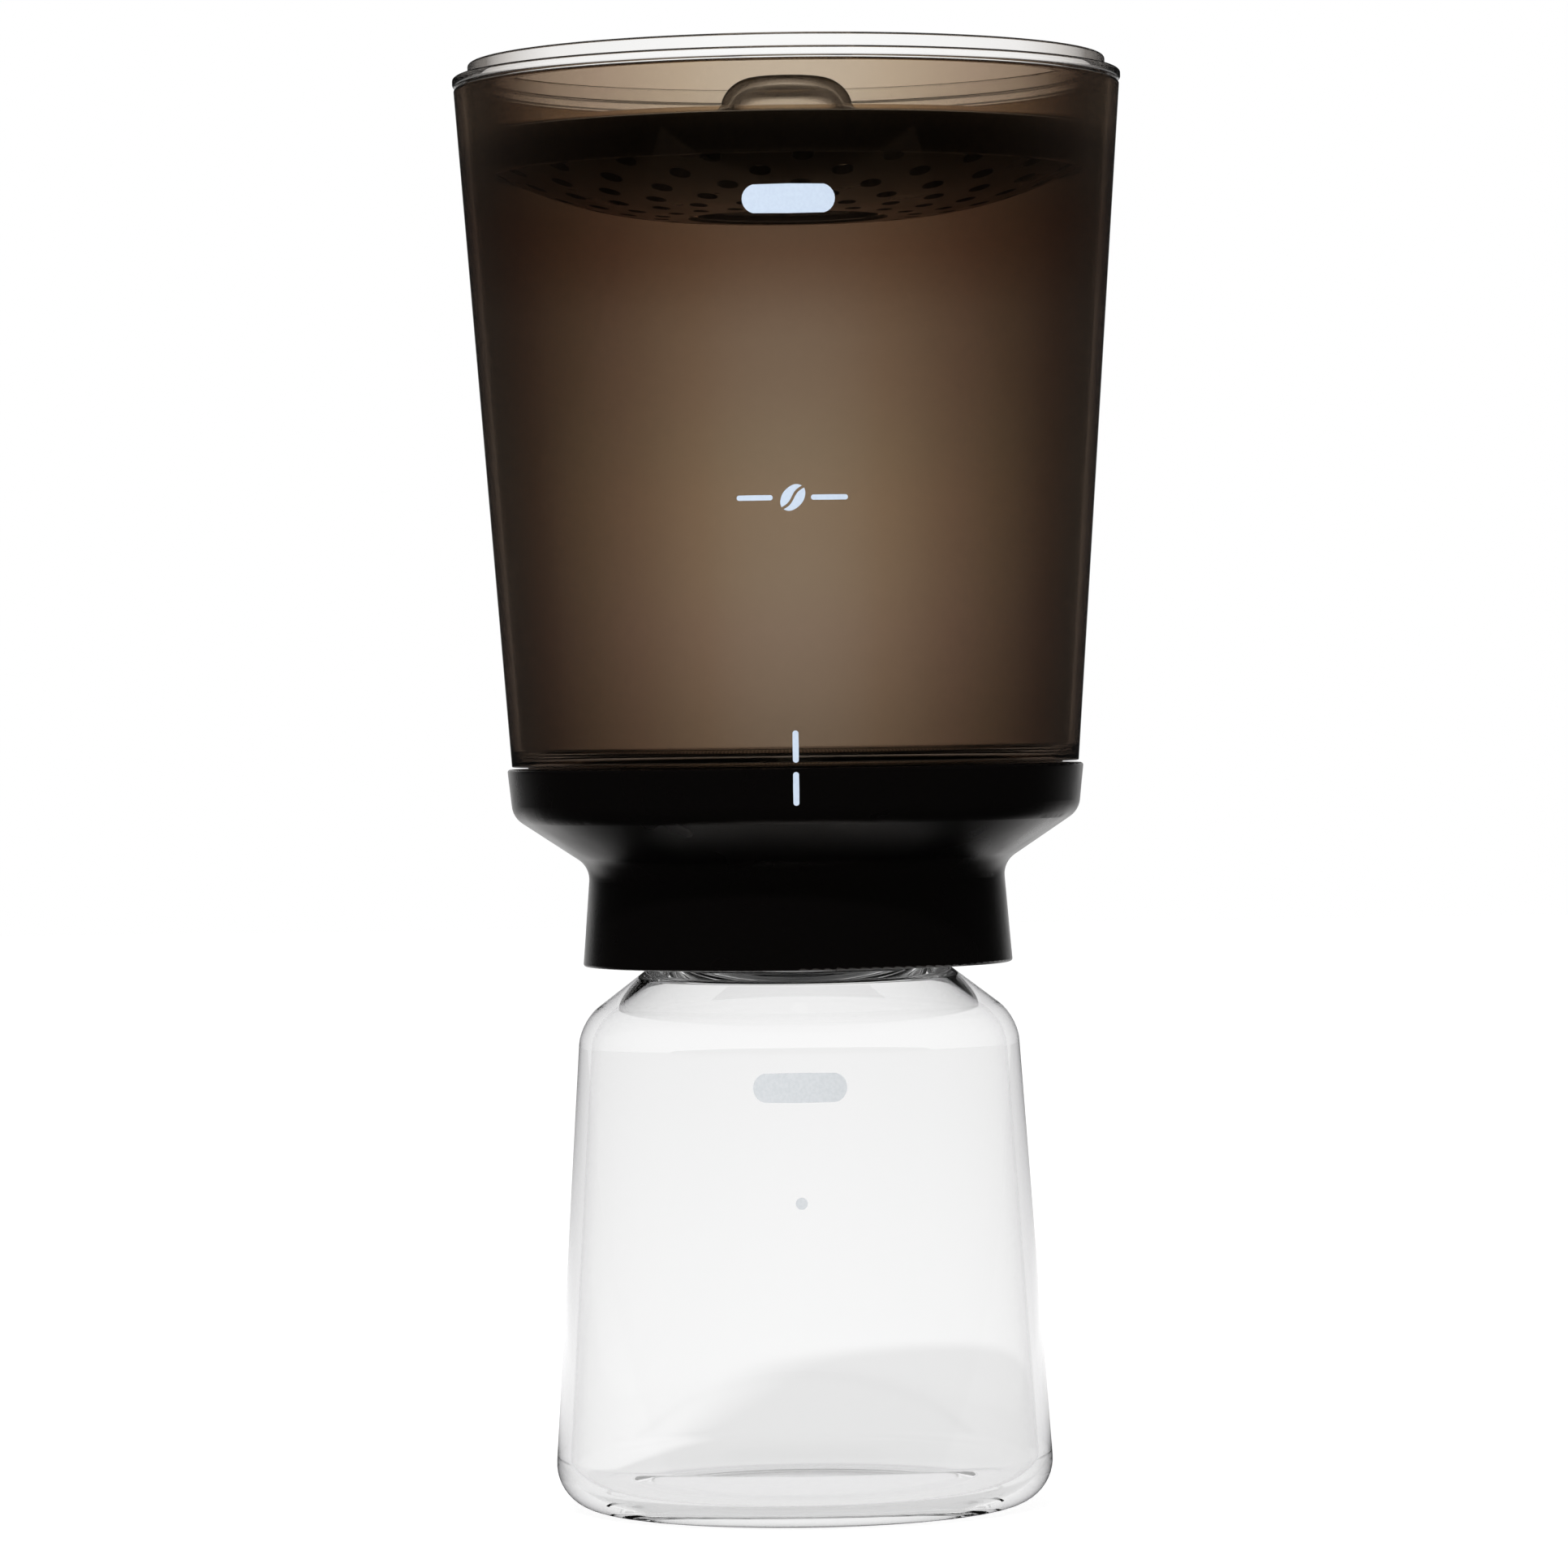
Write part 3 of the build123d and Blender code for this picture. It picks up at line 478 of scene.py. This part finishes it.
finishPiece("containerShell", shell, smoke, "container", replaced=["brew_container"])

topRing = {
    "outline": [
        (66.45, 307.1, 0.5), (67.7, 307.1, 0.6), (67.7, 304.1, 0.3),                    # lip
        (71.0, 304.1, 0.6), (71.0, 302.2, 0.6), (67.979, 302.2, 0),                     # flange
        (66.581, 282.915, 0.3), (62.9, 282.915, 0), (62.9, 284.015, 0),                 # wall and hook
        (64.4, 284.015, 0), (64.4, 284.8, 0), (65.6, 290.7, 0),                         # round the dish
        (65.8, 290.8, 0), (65.62, 291.5, 0.2), (65.8, 292.2, 0), (66.5, 302.2, 0),      # bead and bore
    ],
}
finishPiece("dishRing", spunSolid(topRing["outline"]), ringClear, "dish",
            replaced=["dish_ring"])

knob = {
    "outline": [
        (19.2, 274.444, 0), (21.2, 274.444, 0.3), (21.2, 275.944, 0),                   # in the dish
        (24.1, 275.944, 0), (24.1, 277.344, 0.6), (21.2, 277.344, 0.6),                 # flange
        (14.2, 293.8, 6.0), (14.2, 303.8, 7.4), (0, 303.8, 0),                          # grip
        (0, 301.8, 0), (12.2, 301.8, 5.4), (12.2, 293.8, 8.0), (19.2, 277.344, 0),      # inside, down
    ],
}
finishPiece("dishKnob", spunSolid(knob["outline"]), clear, "dish",
            replaced=["dish_knob"])
print("clear pieces made")

spring = {"radius": 13.4, "wire": 1.1, "bottom": 130.2, "top": 137.6, "turns": 3.5, "steps": 168,
          "sides": 12}
coil = bmesh.new()
bmesh.ops.create_circle(coil, cap_ends=True, segments=spring["sides"], radius=spring["wire"] / 2 * mm)
turnVerts(coil, coil.verts, pi / 2, "X")
bmesh.ops.translate(coil, verts=coil.verts, vec=(spring["radius"] * mm, 0, spring["bottom"] * mm))
rise = (spring["top"] - spring["bottom"]) * mm / spring["steps"]
bmesh.ops.spin(coil, geom=allOf(coil), cent=(0, 0, 0), axis=(0, 0, 1), dvec=(0, 0, rise),
               angle=2 * pi * spring["turns"], steps=spring["steps"], use_merge=False,
               use_duplicate=False)
bmesh.ops.recalc_face_normals(coil, faces=coil.faces)
coilPiece = finishPiece("valveSpring", coil, steel, None, replaced=["valve_spring"])
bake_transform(coilPiece)
print("valve spring made")

prints = {
    # in mm, and the bean's tilt in degrees
    "film": 0.05,
    "clearance": 0.02,          # between the film and the wall
    "lineWidth": 1.25,
    "containerLine": (158.5, 165.1),
    "collarLine": (149.7, 156.6),
    "fillHeight": 212.6,
    "fillBars": ((-11.4, -4.0), (3.8, 11.4)),
    "fillBarWidth": 1.1,
    "bean": {"length": 6.1, "width": 4.3, "tilt": 46, "split": 0.6, "bend": 0.35, "middle": 0.1,
             "sides": 48, "cuts": 19},
    "badgeHeight": 273.2,
    "badge": (19.0, 6.0),
    "carafeBadgeHeight": 91.3,
    "carafeBadge": (19.6, 6.2),
    "dotHeight": 67.5,
    "dot": (2.5, 2.5),
    "capsuleSides": 24,
    "capsuleCuts": 15,
    "touching": 0.0001,         # nearer than this, a point is on a cut
}
printedWalls = {
    # (radius, height) at the low and the high end of each wall, and the body and slot of its marks
    "container": (((60.35, 158.3), (70.75, 301.8)), "container", "smoke_plastic"),
    "collar": (((60.2, 147.2), (61.3, 157.4)), "base", "black_shell"),
    "carafe": (((52.8, 9.6), (46.55, 103.6)), "carafe", "carafe_glass"),
}


def cutAcross(flat, count, spacing):
    # crosswise cuts, so that the flat mark can bend round a wall
    for cut in range(count):
        bmesh.ops.bisect_plane(flat, geom=allOf(flat), dist=prints["touching"] * mm,
                               plane_co=((cut - count // 2) * spacing * mm, 0, 0), plane_no=(1, 0, 0))


def flatCapsule(width, height):
    # rounded bar, lying flat
    flat = bmesh.new()
    across, along = min(width, height), max(width, height)
    bmesh.ops.create_circle(flat, cap_ends=True, segments=prints["capsuleSides"],
                            radius=across / 2 * mm)
    stretch = (along - across) / 2 * mm
    for vert in flat.verts:
        if abs(vert.co.x) > prints["touching"] * mm:
            vert.co.x += stretch if vert.co.x > 0 else -stretch
    cutAcross(flat, prints["capsuleCuts"], along / prints["capsuleCuts"])
    if height > width:
        turnVerts(flat, flat.verts, pi / 2, "Z")
    return flat


def coffeeBean(look):
    # two halves of a bean, with the curved split between them
    bean = bmesh.new()
    bmesh.ops.create_circle(bean, cap_ends=True, segments=look["sides"], radius=0.5)
    bmesh.ops.scale(bean, verts=bean.verts, vec=(look["length"] * mm, look["width"] * mm, 1))
    cutAcross(bean, look["cuts"], look["length"] / (look["cuts"] + 1))
    split = bmesh.ops.bisect_plane(bean, geom=allOf(bean), dist=prints["touching"] * mm,
                                   plane_co=(0, 0, 0), plane_no=(0, 1, 0))
    seam = [part for part in split["geom_cut"] if isinstance(part, bmesh.types.BMEdge)]
    bmesh.ops.split_edges(bean, edges=seam)
    for face in bean.faces:
        side = 1 if face.calc_center_median().y > 0 else -1
        for vert in face.verts:
            if abs(vert.co.y) < prints["touching"] * mm:
                vert.co.y = side * look["split"] / 2 * mm
    for vert in bean.verts:
        share = vert.co.x / (look["length"] / 2 * mm)
        inside = 1 - min(1, abs(vert.co.y) / (look["width"] / 2 * mm))
        vert.co.y += sin(share * pi) * look["bend"] * inside * mm
    turnVerts(bean, bean.verts, radians(look["tilt"]), "Z")
    return bean


def printOn(name, flat, wall, height, ink, across=0.0):
    # lays a flat mark on a wall's front: its x runs round the wall, its y up; solidify leaves its
    # faces outwards, and they stay so when it is bent
    ((lowRadius, lowHeight), (highRadius, highHeight)), body, slot = printedWalls[wall]
    bmesh.ops.solidify(flat, geom=flat.faces[:], thickness=prints["film"] * mm)
    bottom = min(vert.co.z for vert in flat.verts)
    lean = (highRadius - lowRadius) / (highHeight - lowHeight)
    for vert in flat.verts:
        z = height * mm + vert.co.y
        surface = lowRadius * mm + (z - lowHeight * mm) * lean
        angle = (vert.co.x + across * mm) / surface
        reach = surface + (vert.co.z - bottom) + prints["clearance"] * mm
        vert.co = (reach * sin(angle), -reach * cos(angle), z)
    finishPiece(name, flat, ink, body)


for wall in ("container", "collar"):
    low, high = prints[wall + "Line"]
    printOn(wall + "Line", flatCapsule(prints["lineWidth"], high - low), wall, (low + high) / 2, markInk)
for index, (left, right) in enumerate(prints["fillBars"]):
    printOn("fillBar" + "AB"[index], flatCapsule(right - left, prints["fillBarWidth"]), "container",
            prints["fillHeight"], markInk, (left + right) / 2)
printOn("fillBean", coffeeBean(prints["bean"]), "container", prints["fillHeight"], markInk,
        prints["bean"]["middle"])
printOn("containerBadge", flatCapsule(*prints["badge"]), "container", prints["badgeHeight"], markInk)
printOn("carafeBadge", flatCapsule(*prints["carafeBadge"]), "carafe", prints["carafeBadgeHeight"],
        carafeInk)
printOn("carafeDot", flatCapsule(*prints["dot"]), "carafe", prints["dotHeight"], carafeInk)
print("printed marks made")

studio = {
    "floorSize": 8.0,           # metres
    "floorDrop": 0.12,          # mm below the carafe's foot, so that the two don't coincide
    "floorPaper": 0.31,         # what the paper returns of the light on it, as the camera sees it
    "objectMiddle": 150,        # mm
    # how bright the floor's own light and the surroundings are: to the camera, through clear walls,
    # to light that those mirrored inside and let out forwards, and to matt surfaces
    "floorLight": {"cameraWhite": 0.9, "clearWhite": 0.745, "caughtFront": 0.6, "fill": 0.0},
    "skyLight": {"cameraWhite": 1.0, "clearWhite": 1.03, "caughtFront": 0.35, "fill": 0.45},
    # where a direction meets each, by how far it points back or up, and how bright that is
    "polishedBackdrop": {"From Min": 0.986, "From Max": 0.998, "To Min": 0.012, "To Max": 0.72},
    "satinBackdrop": {"From Min": 0.84, "From Max": 0.985, "To Min": 0.012, "To Max": 1.0},
    "tableBehind": {"From Min": 0.6, "From Max": 0.97, "To Max": 1.5},
    "tableBelow": {"From Min": -0.05, "From Max": -0.25},
    "overhead": {"From Min": 0.4, "From Max": 1.0, "To Max": 0.6},
    "caught": {"From Min": -0.6, "From Max": 0.8},
}


def litSurroundings(tree, direction, cameraWhite, clearWhite, caughtFront, fill):
    # how bright the studio is in a direction, for each kind of ray
    rays = addNode(tree, "ShaderNodeLightPath")
    parts = addNode(tree, "ShaderNodeSeparateXYZ", {}, {"Vector": direction})
    back, up = parts.outputs["Y"], parts.outputs["Z"]
    # gloss mirrors a bright backdrop behind the object, wider in satin than in polished walls,
    # the pale table behind it, and dark cards all round
    narrow = addNode(tree, "ShaderNodeMapRange", {}, {"Value": back, **studio["polishedBackdrop"]})
    wide = addNode(tree, "ShaderNodeMapRange", {}, {"Value": back, **studio["satinBackdrop"]})
    backdrop = addNode(tree, "ShaderNodeMix", {}, {0: rays.outputs["Is Singular Ray"],
                       2: wide.outputs["Result"], 3: narrow.outputs["Result"]})
    behind = addNode(tree, "ShaderNodeMapRange", {}, {"Value": back, **studio["tableBehind"]})
    below = addNode(tree, "ShaderNodeMapRange", {}, {"Value": up, **studio["tableBelow"]})
    table = addNode(tree, "ShaderNodeMath", {"operation": "MULTIPLY"}, {0: behind.outputs["Result"],
                    1: below.outputs["Result"]})
    mirrored = addNode(tree, "ShaderNodeMath", {"operation": "MAXIMUM"}, {0: backdrop.outputs[0],
                       1: table.outputs["Value"]})
    # light that was mirrored inside a clear wall before it left it
    caught = addNode(tree, "ShaderNodeMapRange", {}, {"Value": back, "To Min": caughtFront,
                     "To Max": clearWhite, **studio["caught"]})
    # glass and clear plastic show a pale background, greyer overhead
    above = addNode(tree, "ShaderNodeMapRange", {}, {"Value": up, "To Min": clearWhite,
                    **studio["overhead"]})
    wasMirrored = addNode(tree, "ShaderNodeMath", {"operation": "GREATER_THAN"}, {
                          0: rays.outputs["Glossy Depth"], 1: 0.5})
    through = addNode(tree, "ShaderNodeMix", {}, {0: wasMirrored.outputs["Value"],
                      2: above.outputs["Result"], 3: caught.outputs["Result"]})
    glossy = addNode(tree, "ShaderNodeMix", {}, {0: rays.outputs["Is Glossy Ray"],
                     2: fill, 3: mirrored.outputs["Value"]})
    passed = addNode(tree, "ShaderNodeMix", {}, {0: rays.outputs["Is Transmission Ray"],
                     2: glossy.outputs[0], 3: through.outputs[0]})
    seen = addNode(tree, "ShaderNodeMix", {}, {0: rays.outputs["Is Camera Ray"],
                   2: passed.outputs[0], 3: cameraWhite})
    return seen.outputs[0], rays


paperLook = {"colours": ("#e6e6e6", "#e9e9e9"), "fibre": 3.33}      # fibre in mm


def paleFloor():
    # matt white studio paper, lit from behind
    material, tree = startMaterial("whiteStudioPaper")
    place = addNode(tree, "ShaderNodeTexCoord")
    fibre = addNode(tree, "ShaderNodeTexNoise", {}, {"Vector": place.outputs["Object"],
                    "Scale": 1 / (paperLook["fibre"] * mm)})
    shade = addNode(tree, "ShaderNodeValToRGB", {}, {"Fac": fibre.outputs["Fac"]})
    setRamp(shade, [(0.3, paperLook["colours"][0]), (0.7, paperLook["colours"][1])])
    fromObject = addNode(tree, "ShaderNodeVectorMath", {"operation": "SUBTRACT"}, {
                         0: place.outputs["Object"], 1: (0, 0, studio["objectMiddle"] * mm)})
    direction = addNode(tree, "ShaderNodeVectorMath", {"operation": "NORMALIZE"}, {
                        0: fromObject.outputs["Vector"]})
    glow, rays = litSurroundings(tree, direction.outputs["Vector"], **studio["floorLight"])
    # to the camera and through clear walls the paper is mostly its own glow, so that the shadow
    # stays pale, and gloss mirrors the glow alone
    seen = addNode(tree, "ShaderNodeMath", {"operation": "MAXIMUM"}, {
                   0: rays.outputs["Is Camera Ray"], 1: rays.outputs["Is Transmission Ray"]})
    mirrored = addNode(tree, "ShaderNodeMath", {"operation": "SUBTRACT", "use_clamp": True}, {
                       0: rays.outputs["Is Glossy Ray"], 1: rays.outputs["Is Transmission Ray"]})
    lit = addNode(tree, "ShaderNodeMix", {"data_type": "RGBA"}, {0: seen.outputs["Value"],
                  6: shade.outputs["Color"], 7: [studio["floorPaper"]] * 3 + [1]})
    colour = addNode(tree, "ShaderNodeMix", {"data_type": "RGBA"}, {0: mirrored.outputs["Value"],
                     6: lit.outputs[2], 7: linear("#000000")})
    matt = addNode(tree, "ShaderNodeBsdfDiffuse", {}, {"Color": colour.outputs[2]})
    light = addNode(tree, "ShaderNodeEmission", {}, {"Strength": glow})
    both = addNode(tree, "ShaderNodeAddShader", {}, {0: matt.outputs["BSDF"],
                   1: light.outputs["Emission"]})
    addNode(tree, "ShaderNodeOutputMaterial", {}, {"Surface": both.outputs["Shader"]})
    return material


bpy.ops.mesh.primitive_plane_add(size=studio["floorSize"], location=(0, 0, -studio["floorDrop"] * mm))
floor = bpy.context.object
floor.name = "studioFloor"
floor.data.materials.append(paleFloor())

world = bpy.data.worlds.new("studioWorld")
bpy.context.scene.world = world
world.use_nodes = True
sky = world.node_tree
sky.nodes.clear()
direction = addNode(sky, "ShaderNodeTexCoord").outputs["Generated"]
light = litSurroundings(sky, direction, **studio["skyLight"])[0]
back = addNode(sky, "ShaderNodeBackground", {}, {"Color": linear("#ffffff"), "Strength": light})
addNode(sky, "ShaderNodeOutputWorld", {}, {"Surface": back.outputs["Background"]})

# one lamp, high in front of the object and a little to its left, throws the shadow; its places
# and size are in metres
keyLamp = {"place": (-0.67, -2.92, 3.32), "target": (0, 0, 0.1), "size": 0.25, "power": 140.0}
lampData = bpy.data.lights.new("keyLamp", "AREA")
lampData.shape = "SQUARE"
lampData.size = keyLamp["size"]
lampData.energy = keyLamp["power"]
lamp = bpy.data.objects.new("keyLamp", lampData)
bpy.context.scene.collection.objects.link(lamp)
aim = Vector(keyLamp["target"]) - Vector(keyLamp["place"])
lamp.matrix_world = (Matrix.Translation(keyLamp["place"])
                     @ aim.to_track_quat("-Z", "Y").to_matrix().to_4x4())
lamp.visible_camera = False
lamp.visible_glossy = False
lamp.visible_transmission = False

camera = {
    "lens": 163.0,              # mm
    "sensor": 36,               # mm
    "place": (-2.486, -1511.4, 169.9),      # mm
    "tilt": 89.3796,            # degrees
    "roll": -0.78369,           # degrees
    "clip": (0.01, 30),         # metres
}
cameraData = bpy.data.cameras.new("studioCamera")
cameraData.lens = camera["lens"]
cameraData.sensor_width = camera["sensor"]
cameraData.sensor_fit = "HORIZONTAL"
cameraData.clip_start, cameraData.clip_end = camera["clip"]
cameraObject = bpy.data.objects.new("studioCamera", cameraData)
bpy.context.scene.collection.objects.link(cameraObject)
cameraObject.matrix_world = (Matrix.Translation(Vector(camera["place"]) * mm)
                             @ Matrix.Rotation(radians(camera["tilt"]), 4, "X")
                             @ Matrix.Rotation(radians(camera["roll"]), 4, "Z"))
bpy.context.scene.camera = cameraObject

bpy.context.scene.view_settings.view_transform = "Standard"
cycles = bpy.context.scene.cycles
cycles.max_bounces = 48
cycles.transmission_bounces = 40
cycles.glossy_bounces = 32
cycles.use_denoising = True
print("studio made")
